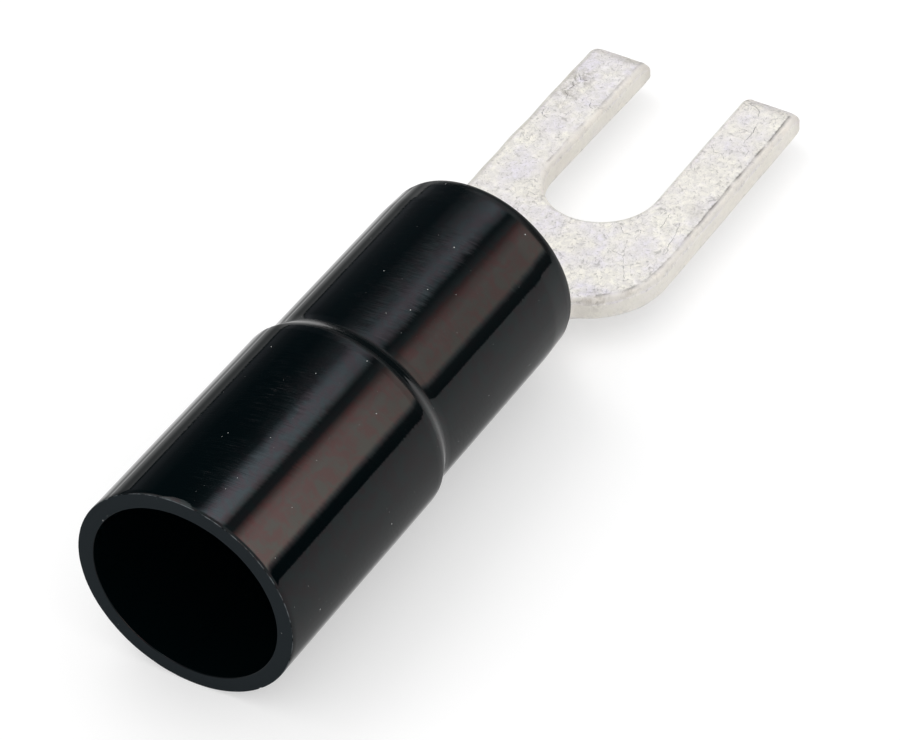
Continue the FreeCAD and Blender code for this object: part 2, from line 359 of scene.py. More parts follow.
terminal = {
    "thickness": 1.2,  # mm from here on
    "tongueWidth": 11.33,
    "slotWidth": 5.7,
    "slotEnd": -2.77,
    "prongLength": 9.3,
    "leftSlotToeIn": 0.25,  # the left prong is a little wider at its tip
    "rightSlotToeIn": 0.06,
    "tipOuterCorner": 0.6,
    "tipInnerCorner": 0.32,
    "tipCrown": 0.12,
    "tipCrownRadius": 5.0,
    "noseReach": 1.05,  # the prongs curve down to their tips over this length
    "noseRadius": 1.3,
    "noseStart": 6.0,  # degrees of the bend at its start
    "shoulderSetBack": 6.5,
    "shoulderRadius": 4.0,
    "shoulderSlope": 25.0,  # degrees
    "neckWidth": 5.4,
    "neckFillet": 0.9,
    "boreRadius": 2.9,
    "barrelFront": -11.0,
    "barrelBack": -21.0,
    "curledBy": -10.48,  # where the neck has its full curl
    "troughWrap": 78.0,  # degrees each side
    "wingCorner": 0.3,
    "outerEdge": 0.3,  # tumbled edge, upper face
    "slotEdgeLeft": 0.34,
    "slotEdgeRight": 0.14,
    "lowerEdge": 0.1,
    "wallInset": 0.006,
    "tearDepth": 0.018,  # the punch tears the lower part of the walls inwards by up to this much
    "tipWear": 0.16,  # the tumbling has taken this much more off the edges at the tips
    "tipWearLength": 1.1,
    "outlineStep": 0.1,
    "fineGrid": 0.088,
    "coarseGrid": 0.35,
    "dentDepth": 0.016,
    "dentSize": 1.1,
    "seed": 11,
}

# cracks and nicks in the plating of the upper face: corners in mm, then the width
cracks = [
    ([(8.3, -3.15), (8.2, -3.55), (8.08, -3.85), (7.85, -3.98), (7.62, -4.05)], 0.05),
    ([(6.85, -4.33), (6.5, -4.4), (6.2, -4.42), (5.95, -4.35), (5.55, -4.42)], 0.05),
    ([(6.5, -4.42), (6.42, -4.2), (6.5, -4.05)], 0.04),
    ([(-0.55, -3.88), (-1.0, -3.95), (-1.55, -4.0)], 0.045),
    ([(-0.9, -4.6), (-1.35, -4.75), (-1.95, -4.88), (-2.6, -4.95)], 0.035),
    ([(-3.1, -3.08), (-3.6, -3.28), (-4.1, -3.5), (-4.6, -3.78), (-5.1, -4.1), (-5.6, -4.42)], 0.035),
    ([(-4.0, -2.95), (-4.05, -3.3), (-4.02, -3.55)], 0.03),
    ([(-2.35, -2.35), (-2.7, -2.7), (-2.62, -3.05)], 0.035),
    ([(4.7, -3.15), (4.35, -3.5), (4.45, -3.85), (4.1, -4.15)], 0.03),
    ([(6.35, 5.05), (6.1, 4.8), (6.15, 4.5)], 0.09),
    ([(5.75, 5.05), (5.5, 4.85), (5.25, 4.95)], 0.08),
    ([(4.95, 5.0), (4.75, 4.75), (4.5, 4.7)], 0.06),
    ([(4.75, 3.5), (4.5, 3.35), (4.45, 3.15)], 0.06),
    ([(3.3, 5.25), (2.9, 5.05), (2.85, 4.7)], 0.035),
    ([(-1.9, 1.9), (-2.3, 2.3), (-2.2, 2.75)], 0.035),
]

scratches = {
    "count": 90,  # short curled marks all over the face
    "shortest": 0.12,  # mm
    "longest": 0.45,
    "width": 0.022,
    "depth": 0.003,
    "crackDepth": 0.004,
    "fromX": -8.0,  # the scratches lie between here and a little short of the prongs' tips
    "tipMargin": 0.8,
    "halfSpread": 5.4,
    "pointStep": 0.035,
    "rimMargin": 0.08,  # no mark comes closer to the rounded edge than this
    "seed": 3,
}


def blankOutline():
    # the flat blank, counter-clockwise from the slot's round end to the back of the barrel and round again
    halfSlot = terminal["slotWidth"] / 2
    halfWidth = terminal["tongueWidth"] / 2
    halfNeck = terminal["neckWidth"] / 2
    slope = math.radians(terminal["shoulderSlope"])
    tip = terminal["prongLength"] - terminal["tipCrown"]
    slotTip = halfSlot - terminal["leftSlotToeIn"]
    neckCorner = -terminal["shoulderSetBack"] - (halfWidth - halfNeck) * math.tan(slope)
    neckEnd = neckCorner - terminal["neckFillet"] * math.tan((math.pi / 2 - slope) / 2)
    curlRadius = terminal["boreRadius"] + terminal["thickness"] / 2
    troughWidth = curlRadius * math.radians(terminal["troughWrap"])
    half = [
        (terminal["slotEnd"], halfSlot, halfSlot - 0.002),
        (tip, slotTip, terminal["tipInnerCorner"]),
        (terminal["prongLength"], (halfSlot + halfWidth) / 2, terminal["tipCrownRadius"]),
        (tip, halfWidth, terminal["tipOuterCorner"]),
        (-terminal["shoulderSetBack"], halfWidth, terminal["shoulderRadius"]),
        (neckCorner, halfNeck, terminal["neckFillet"] * 0.98),
        (neckEnd, halfNeck, 0),
    ]
    flareSteps = 12
    for k in range(1, flareSteps + 1):
        share = k / flareSteps
        half.append((neckEnd + (terminal["curledBy"] - neckEnd) * share,
                     halfNeck + (troughWidth - halfNeck) * share * share, 0))
    wing = math.pi * curlRadius - 0.01
    half += [
        (terminal["barrelFront"], troughWidth, 0),
        (terminal["barrelFront"], wing, terminal["wingCorner"]),
        (terminal["barrelBack"], wing, terminal["wingCorner"]),
    ]
    mirrored = [(x, -y, radius) for x, y, radius in reversed(half)]
    mirrored[-2] = (tip, terminal["rightSlotToeIn"] - halfSlot, terminal["tipInnerCorner"])
    outline = roundCorners(half + mirrored, terminal["outlineStep"])
    count = len(outline)
    area = sum(outline[i - 1].x * outline[i].y - outline[i].x * outline[i - 1].y for i in range(count))
    if area < 0:
        outline.reverse()
    return outline, neckEnd, curlRadius


def edgeSection(p):
    # the cross-section of the sheet's edge at a point of the outline: (inset, height, rounded, wall)
    thick = terminal["thickness"]
    inSlot = p.x > -terminal["slotWidth"] / 2 - 0.1 and abs(p.y) < terminal["slotWidth"] / 2 + 0.05
    toLeft = min(1.0, max(0.0, 0.5 + p.y / terminal["slotWidth"]))
    moreLeft = terminal["slotEdgeLeft"] - terminal["slotEdgeRight"]
    slotEdge = terminal["slotEdgeRight"] + moreLeft * toLeft ** 2
    edge = slotEdge if inSlot else terminal["outerEdge"]
    edge *= 1 + 0.35 * noise.noise(Vector((p.x * 0.55, p.y * 0.55, terminal["seed"])))
    low = terminal["lowerEdge"] * (1 + 0.4 * noise.noise(Vector((p.x, p.y, terminal["seed"] + 5))))
    toTip = min(1.0, max(0.0, 1 - (terminal["prongLength"] - p.x) / terminal["tipWearLength"]))
    wear = terminal["tipWear"] * toTip * toTip * (3 - 2 * toTip)
    edge += wear
    low += wear
    section = []
    arcSteps = 6
    for k in range(arcSteps + 1):
        a = math.pi / 2 * k / arcSteps
        rounded = math.sin(2 * a) ** 0.5 if 0 < k < arcSteps else 0
        section.append((edge * (1 - math.sin(a)), thick - edge * (1 - math.cos(a)), rounded, 0))
    wallSteps = 7
    for k in range(1, wallSteps):
        up = thick - edge - (thick - edge - low) * k / wallSteps
        tear = 0.0
        if up < thick * 0.55:
            tear = terminal["tearDepth"] * max(0.0, noise.noise(Vector((p.x * 5, p.y * 5, up * 3))))
        section.append((terminal["wallInset"] + tear, up, 0, 1))
    for k in range(4):
        a = math.pi / 2 * k / 3
        section.append((low * (1 - math.cos(a)), low * (1 - math.sin(a)), 0, 0.5))
    return section


def edgeLineAt(p):
    # how much the colour is darkened in a line along the inner border of the rounded edge: most on the right
    # prong and the right shoulder, some along the left side of the slot
    if p.y < -3.9 and p.x < 8.4:
        amount = 1.0 if p.x > -1.5 else 0.7
    elif 1.5 < p.y < 3.2 and p.x > 0:
        amount = 0.5
    else:
        amount = 0.2
    return amount * min(1.0, max(0.0, 0.75 + 1.3 * noise.noise(Vector((p.x * 1.6, p.y * 1.6, 4)))))


def noseHeight(x):
    # height of the upper face at x, lower over the prongs' noses
    over = x - (terminal["prongLength"] - terminal["noseReach"])
    if over <= 0:
        return terminal["thickness"]
    first = math.radians(terminal["noseStart"])
    steepness = min(over / terminal["noseRadius"] + math.sin(first), 0.999)
    return terminal["thickness"] - terminal["noseRadius"] * (math.cos(first) - math.cos(math.asin(steepness)))


def strokePoints():
    # every crack and scratch as a list of (place, half width, depth), thinner towards its ends
    rng = random.Random(scratches["seed"])
    strokes = []
    for corners, width in cracks:
        strokes.append((corners, width, scratches["crackDepth"]))
    for i in range(scratches["count"]):
        x = rng.uniform(scratches["fromX"], terminal["prongLength"] - scratches["tipMargin"])
        y = rng.uniform(-scratches["halfSpread"], scratches["halfSpread"])
        heading = rng.gauss(-0.5, 0.9)
        length = rng.uniform(scratches["shortest"], scratches["longest"])
        corners = [(x, y)]
        for part in range(3):
            heading += rng.gauss(0, 0.6)
            x += math.cos(heading) * length / 3
            y += math.sin(heading) * length / 3
            corners.append((x, y))
        strokes.append((corners, scratches["width"] * rng.uniform(0.7, 1.4), scratches["depth"]))
    places = []
    for corners, width, depth in strokes:
        for (x0, y0), (x1, y1) in zip(corners, corners[1:]):
            run = math.hypot(x1 - x0, y1 - y0)
            steps = max(2, round(run / scratches["pointStep"]))
            for k in range(steps):
                x = x0 + (x1 - x0) * k / steps
                y = y0 + (y1 - y0) * k / steps
                shake = noise.noise(Vector((x * 7, y * 7, 0))) * 0.05
                across = Vector((y0 - y1, x1 - x0)) / run
                spot = Vector((x, y)) + across * shake
                swell = 0.55 + 0.9 * max(0.0, noise.noise(Vector((x * 4, y * 4, 9))) + 0.3)
                places.append((spot, across * (width * swell / 2), depth * min(1.0, swell)))
    return places


def distanceTo(points):
    # gives a function of x and y that tells how far off the nearest of these points is
    tree = kdtree.KDTree(len(points))
    for i, p in enumerate(points):
        tree.insert((p.x, p.y, 0), i)
    tree.balance()
    return lambda x, y: tree.find((x, y, 0))[2]


def capFace(blank, layers, ring, height, marks):
    # fills one face of the blank with a near-even net of small triangles that follows the marks
    border = [Vector((v.co.x, v.co.y)) for v in ring]
    fixed = list(border)
    isMark = [0.0] * len(border)
    for spot, side, depth in marks:
        for p, deep in ((spot, depth), (spot + side, 0.0), (spot - side, 0.0)):
            fixed.append(p)
            isMark.append(deep)
    fromFixed = distanceTo(fixed)
    points = list(fixed)
    minX = min(p.x for p in border)
    maxX = max(p.x for p in border)
    maxY = max(p.y for p in border)
    split = terminal["barrelFront"] + 1.0  # the net is fine in front of this, where it can be seen
    for start, stop, step in ((minX, split, terminal["coarseGrid"]), (split, maxX, terminal["fineGrid"])):
        rows = int((stop - start) / (step * 0.866))
        for r in range(rows):
            x = start + (r + 0.5) * (stop - start) / rows
            columns = int(maxY / step) + 1
            for c in range(-columns, columns + 1):
                y = (c + 0.5 * (r % 2)) * step
                if fromFixed(x, y) > step * 0.5:
                    points.append(Vector((x, y)))
    net = geometry.delaunay_2d_cdt(points, [], [list(range(len(border)))], 1, 1e-6)
    coords, faces, sources = net[0], net[2], net[3]
    used = {i for corners in faces for i in corners}
    verts = {}
    for i in used:
        p = coords[i]
        known = [k for k in sources[i] if k < len(ring)]
        if known:
            verts[i] = ring[known[0]]
            continue
        deep = max((isMark[k] for k in sources[i] if k < len(isMark)), default=0.0)
        verts[i] = blank.verts.new((p.x, p.y, height - deep))
        verts[i][layers["mark"]] = 1.0 if deep else 0.0
    for corners in faces:
        blank.faces.new([verts[i] for i in corners])


def makeBlank():
    # a ring of points round the sheet's edge for every point of the outline, and a net over each face
    outline, neckEnd, curlRadius = blankOutline()
    count = len(outline)
    blank = bmesh.new()
    layers = {name: blank.verts.layers.float.new(name) for name in ("rounded", "wall", "mark", "edgeLine")}
    rings = []
    for i, p in enumerate(outline):
        along = (outline[(i + 1) % count] - outline[i - 1]).normalized()
        outwards = Vector((along.y, -along.x))
        ring = []
        for inset, up, rounded, wall in edgeSection(p):
            q = p - outwards * inset
            vert = blank.verts.new((q.x, q.y, up))
            vert[layers["rounded"]] = rounded
            vert[layers["wall"]] = wall
            ring.append(vert)
        ring[0][layers["edgeLine"]] = edgeLineAt(p)
        ring[1][layers["edgeLine"]] = edgeLineAt(p) * 0.4
        rings.append(ring)
    for i in range(count):
        here, there = rings[i - 1], rings[i]
        for k in range(len(here) - 1):
            blank.faces.new((here[k], here[k + 1], there[k + 1], there[k]))
    topRing = [ring[0] for ring in rings]
    fromRim = distanceTo([vert.co for vert in topRing])
    marks = [mark for mark in strokePoints() if fromRim(mark[0].x, mark[0].y) > scratches["rimMargin"]]
    capFace(blank, layers, topRing, terminal["thickness"], marks)
    capFace(blank, layers, [ring[-1] for ring in rings], 0.0, [])
    bmesh.ops.remove_doubles(blank, verts=blank.verts, dist=1e-5)
    bmesh.ops.recalc_face_normals(blank, faces=blank.faces)
    for vert in blank.verts:
        vert.co.z *= noseHeight(vert.co.x) / terminal["thickness"]
        vert.co *= mm
    mesh = bpy.data.meshes.new("terminal")
    blank.to_mesh(mesh)
    blank.free()
    return newObject("terminal", mesh), neckEnd, curlRadius


def makeRollRule():
    # dents the sheet a little, then curls it about the wire axis behind the neck
    add, give = newRule("rollBlank", Float=[
        "Neck End", "Curled By", "Curl Radius", "Thickness", "Dent Depth", "Dent Size", "Seed"])
    dent = add("TexNoise", {"Vector": add("GeometryNodeInputPosition"), "W": give["Seed"], "Detail": 3.0,
                            "Scale": add("Math:DIVIDE", 1.0, give["Dent Size"]), "Roughness": 0.6},
               noise_dimensions="4D")
    inwards = add("Math:MULTIPLY", add("Math:MULTIPLY", dent, give["Dent Depth"]), -1.0)
    push = add("VectorMath:SCALE", {0: add("GeometryNodeInputNormal"), 3: inwards})
    dented = add("GeometryNodeSetPosition", {"Geometry": give["Geometry"], "Offset": push})
    x, y, z = add("SeparateXYZ", add("GeometryNodeInputPosition")).node.outputs
    share = add("MapRange", x, give["Neck End"], give["Curled By"], interpolation_type="SMOOTHSTEP")
    least = 0.0005  # where the share is less than this, the sheet stays flat
    bend = add("Math:DIVIDE", give["Curl Radius"], add("Math:MAXIMUM", share, least))
    angle = add("Math:DIVIDE", y, bend)
    centre = add("Math:ADD", bend, add("Math:MULTIPLY", give["Thickness"], 0.5))
    layer = add("Math:SUBTRACT", centre, z)
    across = add("Math:MULTIPLY", layer, add("Math:SINE", angle))
    up = add("Math:SUBTRACT", centre, add("Math:MULTIPLY", layer, add("Math:COSINE", angle)))
    rolled = add("GeometryNodeSetPosition", {
        "Geometry": dented, "Selection": add("Math:GREATER_THAN", share, least),
        "Position": add("CombineXYZ", x, across, up)})
    return finishRule(add, rolled, give["Finish"])


def makeTerminal(material):
    piece, neckEnd, curlRadius = makeBlank()
    applyRule(piece, makeRollRule(), {
        "Neck End": neckEnd * mm, "Curled By": terminal["curledBy"] * mm, "Curl Radius": curlRadius * mm,
        "Thickness": terminal["thickness"] * mm, "Dent Depth": terminal["dentDepth"] * mm,
        "Dent Size": terminal["dentSize"] * mm, "Seed": float(terminal["seed"]), "Finish": material})
    faceOutwards(piece)
    return piece


# Materials

pvc = {
    "body": "#02080a",
    # the burr's pale colour is a painted highlight
    "burrAndHighlight": "#5a6063",
    "cutFace": "#262b2e",
    "shine": 0.25,  # the plasticiser's film reflects less than bare hard PVC, which would be 0.5
    "roughness": 0.055,
    "scuffRoughness": 0.32,  # where handling has rubbed the skin
    "noseRoughness": 0.42,
    "noseDulled": 0.4,  # the nose loses this share of its shine
    "stepRoughness": 0.3,
    "filmWarm": "#e2cbd0",  # the film's two faint tints
    "filmCool": "#d0dfe0",
    "scuffTurn": 0.24,  # how far a scuff leans the surface round the tube
    "mostScuffed": 5.0,  # degrees from the top to the right
    "scuffTilt": 14.0,  # degrees between the scuffs and a ring round the tube
    "burrRoughness": 0.7,
    "noseFrom": 0.8,  # mm from here on; the nose grows dull between these distances from the sleeve's end
    "noseBy": 0.25,
    "scuffLength": 0.9,
    "scuffWidth": 0.05,
    "burrWidth": 0.05,
    "burrBreaks": 0.35,
    "hazeSize": 3.0,
    "cloudSize": 0.6,
    "grainSize": 0.09,
}

# the share of the shine that is left, by degrees from the top to the left; its dips paint darker stripes into
# the reflection, a painted shade
shineByAngle = [
    (-125, 0.5), (-120, 0.42), (-114, 0.26), (-111, 0.14), (-108, 0.08), (-102, 0.13), (-96, 0.24),
    (-90, 0.4), (-84, 0.57), (-75, 0.9), (-70, 1.0), (12, 1.0), (18, 0.6), (21, 0.5), (24, 0.3),
    (27, 0.18), (30, 0.05), (33, 0.04), (36, 0.14), (39, 0.23), (42, 0.36), (48, 0.32), (54, 0.32),
    (90, 0.4), (110, 0.8),
]


def newMaterial(name):
    # gives the material, what adds its nodes, and its surface
    material = bpy.data.materials.new(name)
    material.use_nodes = True
    tree = material.node_tree
    return material, partial(addNode, tree), tree.nodes["Principled BSDF"]


def spread(add, place, size, detail, low, high, warp=0.0):
    # noise with blots of a size in mm; what lies between low and high is stretched to 0 to 1
    blots = add("TexNoise", {"Vector": place, "Scale": 1 / (size * mm), "Detail": detail, "Roughness": 0.6,
                             "Distortion": warp})
    return add("MapRange", blots, low, high)


def addScuffs(add, place, x, around):
    # gives how much the tube is worn, and the fine lines and scuffs there; both go round it, a little tilted
    u = add("Math:MULTIPLY", around, -cableOuter * mm)
    tilt = math.radians(pvc["scuffTilt"])
    cosine, sine = math.cos(tilt), math.sin(tilt)
    lengthwise = add("Math:ADD", add("Math:MULTIPLY", u, cosine), add("Math:MULTIPLY", x, sine))
    crosswise = add("Math:SUBTRACT", add("Math:MULTIPLY", x, cosine), add("Math:MULTIPLY", u, sine))
    scuffPlace = add("CombineXYZ", add("Math:DIVIDE", lengthwise, pvc["scuffLength"] * mm),
                     add("Math:DIVIDE", crosswise, pvc["scuffWidth"] * mm))
    lines = add("TexNoise", {"Vector": scuffPlace, "Scale": 1.0, "Detail": 2.0})
    fromWorst = add("Math:ABSOLUTE", add("Math:ADD", around, math.radians(pvc["mostScuffed"])))
    handled = add("MapRange", fromWorst, 0.13, 0.4, 1.0, 0.25)
    awayFromMouth = add("MapRange", x, sleeveLow.x + mm, sleeveLow.x + 5 * mm, 0.25, 1.0)
    worn = spread(add, place, pvc["hazeSize"], 4.0, 0.34, 0.6)
    worn = add("Math:MULTIPLY", add("Math:MULTIPLY", worn, handled), awayFromMouth)
    return worn, lines, add("Math:MULTIPLY", worn, add("MapRange", lines, 0.48, 0.7))


def addBurrAndHighlight(add, place, x, y, up):
    # the thin, broken burr that the blade left round the outside of the mouth, which carries a pale painted
    # highlight
    lean = add("Math:SUBTRACT", add("Math:MULTIPLY", y, sleeve["mouthSlantLeft"]),
               add("Math:MULTIPLY", up, sleeve["mouthSlantDown"]))
    fromCut = add("Math:ADD", add("Math:SUBTRACT", x, sleeveLow.x + slantReach * mm), lean)
    atCut = add("MapRange", fromCut, 0.5 * pvc["burrWidth"] * mm, pvc["burrWidth"] * mm, 1.0, 0.0)
    distance = add("Math:SQRT", add("Math:ADD", add("Math:POWER", y, 2.0), add("Math:POWER", up, 2.0)))
    atCut = add("Math:MULTIPLY", atCut, add("Math:GREATER_THAN", distance, (cableOuter - 0.15) * mm))
    breaks = add("TexNoise", {"Vector": place, "Scale": 1 / (pvc["burrBreaks"] * mm), "Detail": 3.0})
    return add("Math:MULTIPLY", atCut, add("MapRange", breaks, 0.4, 0.6))


def makeGlossyPvc():
    # injection-moulded plasticised PVC: a deep black body under a glossy skin that has been rubbed in places
    material, add, surface = newMaterial("mouldedBlackPvc")
    place = add("TexCoord").node.outputs["Object"]
    x, y, z = add("SeparateXYZ", place).node.outputs
    up = add("Math:SUBTRACT", z, wireAxisHeight)
    around = add("Math:ARCTAN2", y, up)
    worn, lines, scuffs = addScuffs(add, place, x, around)
    grain = add("TexNoise", {"Vector": place, "Scale": 1 / (pvc["grainSize"] * mm), "Detail": 2.0})
    height = add("Math:ADD", add("Math:MULTIPLY", scuffs, 0.8), add("Math:MULTIPLY", grain, 0.2))
    bump = add("Bump", {"Height": height, "Strength": 0.4, "Distance": 0.004 * mm})
    # scuffs drag the edges of the reflected bands round the tube
    roundTube = add("VectorMath:CROSS_PRODUCT", add("NewGeometry").node.outputs["Normal"], (1, 0, 0))
    turn = add("Math:MULTIPLY", add("Math:SUBTRACT", lines, 0.5), worn)
    drag = add("VectorMath:SCALE", {0: roundTube, 3: add("Math:MULTIPLY", turn, pvc["scuffTurn"])})
    normal = add("VectorMath:NORMALIZE", add("VectorMath:ADD", bump, drag))
    clouds = add("TexNoise", {"Vector": place, "Scale": 1 / (pvc["cloudSize"] * mm), "Detail": 5.0,
                              "Roughness": 0.65, "Distortion": 0.5})
    tints = [(0.42, toLinear(pvc["filmWarm"])), (0.58, toLinear(pvc["filmCool"]))]
    film = add("ValToRGB", clouds, stops=tints)
    burrAndHighlight = addBurrAndHighlight(add, place, x, y, up)
    # the burr is painted pale: a painted highlight along the mouth's outer edge
    colour = add("ValToRGB", burrAndHighlight, stops=[(0.0, toLinear(pvc["body"])), (1.0, toLinear(pvc["burrAndHighlight"]))])
    # scuffs and the burr are rougher, and so are the nose and the step's two edges, where the mould was worn
    roughness = add("MapRange", scuffs, 0.0, 1.0, pvc["roughness"], pvc["scuffRoughness"])
    nose = add("MapRange", x, sleeveHigh.x - pvc["noseFrom"] * mm, sleeveHigh.x - pvc["noseBy"] * mm)
    dullPlaces = [(burrAndHighlight, pvc["burrRoughness"]), (nose, pvc["noseRoughness"])]
    crest = sleeveLow.x + sleeve["cableEndLength"] * mm
    for edge in (crest, crest + sleeve["stepLength"] * mm):
        away = add("Math:ABSOLUTE", add("Math:SUBTRACT", x, edge))
        dullPlaces.append((add("MapRange", away, 0.1 * mm, 0.2 * mm, 1.0, 0.0), pvc["stepRoughness"]))
    for where, rough in dullPlaces:
        roughness = add("Math:MAXIMUM", roughness, add("Math:MULTIPLY", where, rough))
    # the shine is cut by angle round the tube, which paints darker stripes into the reflection: painted shade
    stops = [(degrees / 360 + 0.5, (share, share, share, 1.0)) for degrees, share in shineByAngle]
    kept = add("ValToRGB", add("Math:ADD", add("Math:DIVIDE", around, 2 * math.pi), 0.5), stops=stops)
    shine = add("Math:MULTIPLY", add("Math:MULTIPLY", kept, pvc["shine"]),
                add("Math:SUBTRACT", 1.0, add("Math:MULTIPLY", nose, pvc["noseDulled"])))
    fillInputs(surface, {"Base Color": colour, "Roughness": roughness, "Normal": normal,
                         "Specular IOR Level": shine, "Specular Tint": film})
    return material


def makeCutPvc():
    # the same PVC where a blade went through it: matt, with faint drag lines
    material, add, surface = newMaterial("bladeCutBlackPvc")
    drag = add("VectorMath:MULTIPLY", add("TexCoord").node.outputs["Object"], (1, 6, 1))
    lines = add("TexNoise", {"Vector": drag, "Scale": 1.4 / mm, "Detail": 5.0})
    bump = add("Bump", {"Height": lines, "Strength": 0.3, "Distance": 0.01 * mm})
    fillInputs(surface, {"Base Color": toLinear(pvc["cutFace"]), "Specular IOR Level": 0.02, "Roughness": 0.9,
                         "Normal": bump})
    return material


def makeDustMaterial():
    # specks of pale lint and plastic crumbs, which scatter light and have no shine
    material, add, surface = newMaterial("paleDust")
    fillInputs(surface, {"Base Color": toLinear(dust["colour"]), "Roughness": 0.9})
    return material


tin = {
    "face": "#fffcf2",
    "shade": "#d6d3cf",
    "lilac": "#f1edf5",
    # the rounded edges' tone is a painted sheen
    "edgeSheen": "#d9d9d4",
    "wall": "#e9e6dd",
    "dirt": "#5f5a57",
    # this colour goes on the real stains and on the painted shade of the tips and the left edge
    "stainAndShade": "#9c968c",
    "metallic": 0.45,  # the tumbled, oxidised skin scatters more light than clean metal would
    "roughness": 0.5,
    "edgeRoughness": 0.8,
    "patchSize": 2.4,  # mm from here on
    "grainSize": 0.26,
    "pitSize": 0.33,
    "crackleSize": 0.6,
    "speckSize": 0.08,
    "blotchSize": 0.28,
    "tipShadeFrom": 8.0,  # beyond this x the tips get a painted shade, and beyond this y the left edge
    "sideShadeFrom": 5.3,
}

# stained spots of the upper face: place in mm, radius, and how dark
stains = [
    ((6.1, 4.9), 1.0, 1.0), ((4.9, 4.9), 0.8, 0.9), ((3.9, 4.7), 0.6, 0.5), ((-2.5, 2.3), 0.7, 0.6),
    ((8.6, 3.6), 0.6, 0.5), ((0.2, -4.9), 0.7, 0.45), ((-7.3, -3.9), 0.9, 0.7), ((-6.2, -5.0), 0.5, 0.6),
    ((3.4, -3.3), 0.5, 0.3),
]


def addCrackle(add, place):
    # fine broken cracks: the borders of warped cells, kept only in places
    shake = add("TexNoise", {"Vector": place, "Scale": 1 / (0.3 * mm), "Detail": 2.0}).node.outputs["Color"]
    shaken = add("VectorMath:ADD", place, add("VectorMath:SCALE", {0: shake, 3: 0.3 * mm}))
    cells = add("TexVoronoi", {"Vector": shaken, "Scale": 1 / (tin["crackleSize"] * mm)},
                feature="DISTANCE_TO_EDGE")
    borders = add("MapRange", cells, 0.0, 0.05, 1.0, 0.0)
    return add("Math:MULTIPLY", borders, spread(add, place, 0.5, 3.0, 0.5, 0.62))


def addBlotches(add, place):
    # the stained spots, broken up by noise
    stained = 0.0
    for (ahead, aside), radius, darkness in stains:
        spot = (ahead * mm, aside * mm, terminal["thickness"] * mm)
        away = add("VectorMath:DISTANCE", place, spot).node.outputs["Value"]
        near = add("MapRange", away, 0.2 * radius * mm, radius * mm, darkness, 0.0)
        stained = add("Math:MAXIMUM", near, stained)
    return add("Math:MULTIPLY", stained, spread(add, place, tin["blotchSize"], 4.0, 0.42, 0.62, 0.8))


def makeTin():
    # electro-tinned copper that was tumbled: dull white metal with grains and tiny pits, worn edges with a
    # painted sheen in a yellower tone, and painted shade on the tips and left edge
    material, add, surface = newMaterial("tumbledTinPlate")
    place = add("TexCoord").node.outputs["Object"]
    x, y = add("SeparateXYZ", place).node.outputs[:2]
    rounded, wall, mark, edgeLine = [add("Attribute", attribute_name=name).node.outputs["Fac"]
                                  for name in ("rounded", "wall", "mark", "edgeLine")]
    patches = spread(add, place, tin["patchSize"], 4.0, 0.35, 0.7)
    elsewhere = add("VectorMath:ADD", place, (0.03, 0.01, 0.02))
    tints = spread(add, elsewhere, tin["patchSize"] * 0.6, 3.0, 0.42, 0.68)
    grains = spread(add, place, tin["grainSize"], 3.0, 0.36, 0.64, 0.6)
    pits = spread(add, place, tin["pitSize"], 5.0, 0.56, 0.66, 1.6)
    specks = spread(add, place, tin["speckSize"], 2.0, 0.58, 0.7)
    crackle = addCrackle(add, place)
    blotches = addBlotches(add, place)
    # painted shade: the tips and the left edge are painted darker, in patches
    tips = add("MapRange", x, tin["tipShadeFrom"] * mm, (tin["tipShadeFrom"] + 1.2) * mm)
    side = add("MapRange", y, tin["sideShadeFrom"] * mm, (tin["sideShadeFrom"] + 0.35) * mm)
    paintedShade = add("Math:MULTIPLY", add("Math:MAXIMUM", tips, side),
               add("MapRange", patches, 0.0, 1.0, 0.25, 0.6))
    # painted sheen: the rounded edges get a tone of their own
    sheenOnEdges = add("Math:MULTIPLY", rounded, add("MapRange", tints, 0.0, 1.0, 0.65, 1.0))
    # the rolled face is marked most, the punched walls and rounded edges less
    offFace = add("Math:MAXIMUM", wall, add("Math:MULTIPLY", rounded, 0.7))
    onFace = add("Math:SUBTRACT", 1.0, add("Math:MULTIPLY", offFace, 0.75))
    faceMarks = [(add("Math:MULTIPLY", marks, onFace), strength, "dirt")
                 for marks, strength in ((pits, 0.38), (specks, 0.28), (crackle, 0.3))]
    # coats of colour over the bare face: where each lies, how strong it is, and its colour
    colour = toLinear(tin["face"])
    for where, strength, coat in [
            (tints, 1.0, "lilac"), (patches, 0.45, "shade"), (grains, 0.62, "shade"), (wall, 0.75, "wall"),
            (sheenOnEdges, 1.0, "edgeSheen"), *faceMarks, (blotches, 0.8, "stainAndShade"), (paintedShade, 1.0, "stainAndShade"),
            (edgeLine, 0.9, "dirt"), (mark, 0.9, "dirt")]:
        share = add("Math:MULTIPLY", where, strength)
        colour = add("Mix", {0: share, 6: colour, 7: toLinear(tin[coat])}, data_type="RGBA").node.outputs[2]
    roughness = add("MapRange", patches, 0.0, 1.0, tin["roughness"] - 0.05, tin["roughness"] + 0.08)
    roughness = add("MapRange", add("Math:MAXIMUM", rounded, mark), 0.0, 1.0, roughness, tin["edgeRoughness"])
    hollows = add("Math:MULTIPLY", add("Math:ADD", pits, crackle), -0.8)
    height = add("Math:ADD", add("Math:MULTIPLY", grains, 0.6), hollows)
    bump = add("Bump", {"Height": height, "Strength": 0.45, "Distance": 0.012 * mm})
    fillInputs(surface, {"Base Color": colour, "Metallic": tin["metallic"], "Roughness": roughness,
                         "Normal": bump})
    return material


# Studio: pale paper in soft even light. Glossy surfaces reflect a bright ceiling and, where they look
# slantwise along the wire axis, a tent of long bright and dark stripes.

